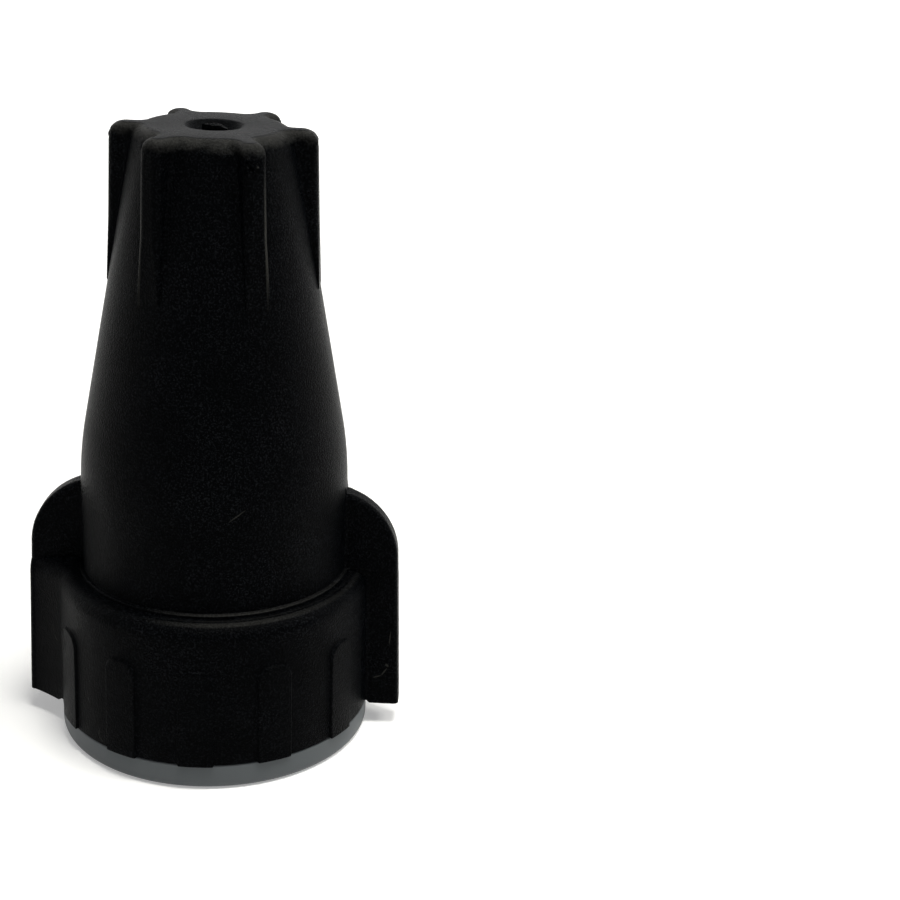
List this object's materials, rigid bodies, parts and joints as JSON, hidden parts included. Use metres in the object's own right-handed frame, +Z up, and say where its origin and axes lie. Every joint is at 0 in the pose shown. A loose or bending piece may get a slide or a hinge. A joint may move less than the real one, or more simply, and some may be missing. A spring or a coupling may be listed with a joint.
{
  "type": "twist-on wire connector",
  "caption": "Winged twist-on wire connector: a tapered ribbed shell with a coil of square wire inside, closed by a slit end cap that the stripped wires are pushed through.",
  "frame": {"origin": "on the connector's axis, at the rim of the end cap that it stands on", "axes": "+Z up the axis towards the closed nose, X through the two wings, Y across them"},
  "size_m": [0.0268, 0.0224, 0.0435],
  "materials": {
    "shell": "black, fine moulded grain, satin",
    "spring": "bright drawn wire",
    "end_cap": "mid grey, smooth and soft"
  },
  "bodies": {
    "root": {"shell": "shell", "spring": "spring", "end_cap": "end_cap"}
  },
  "joints": []
}
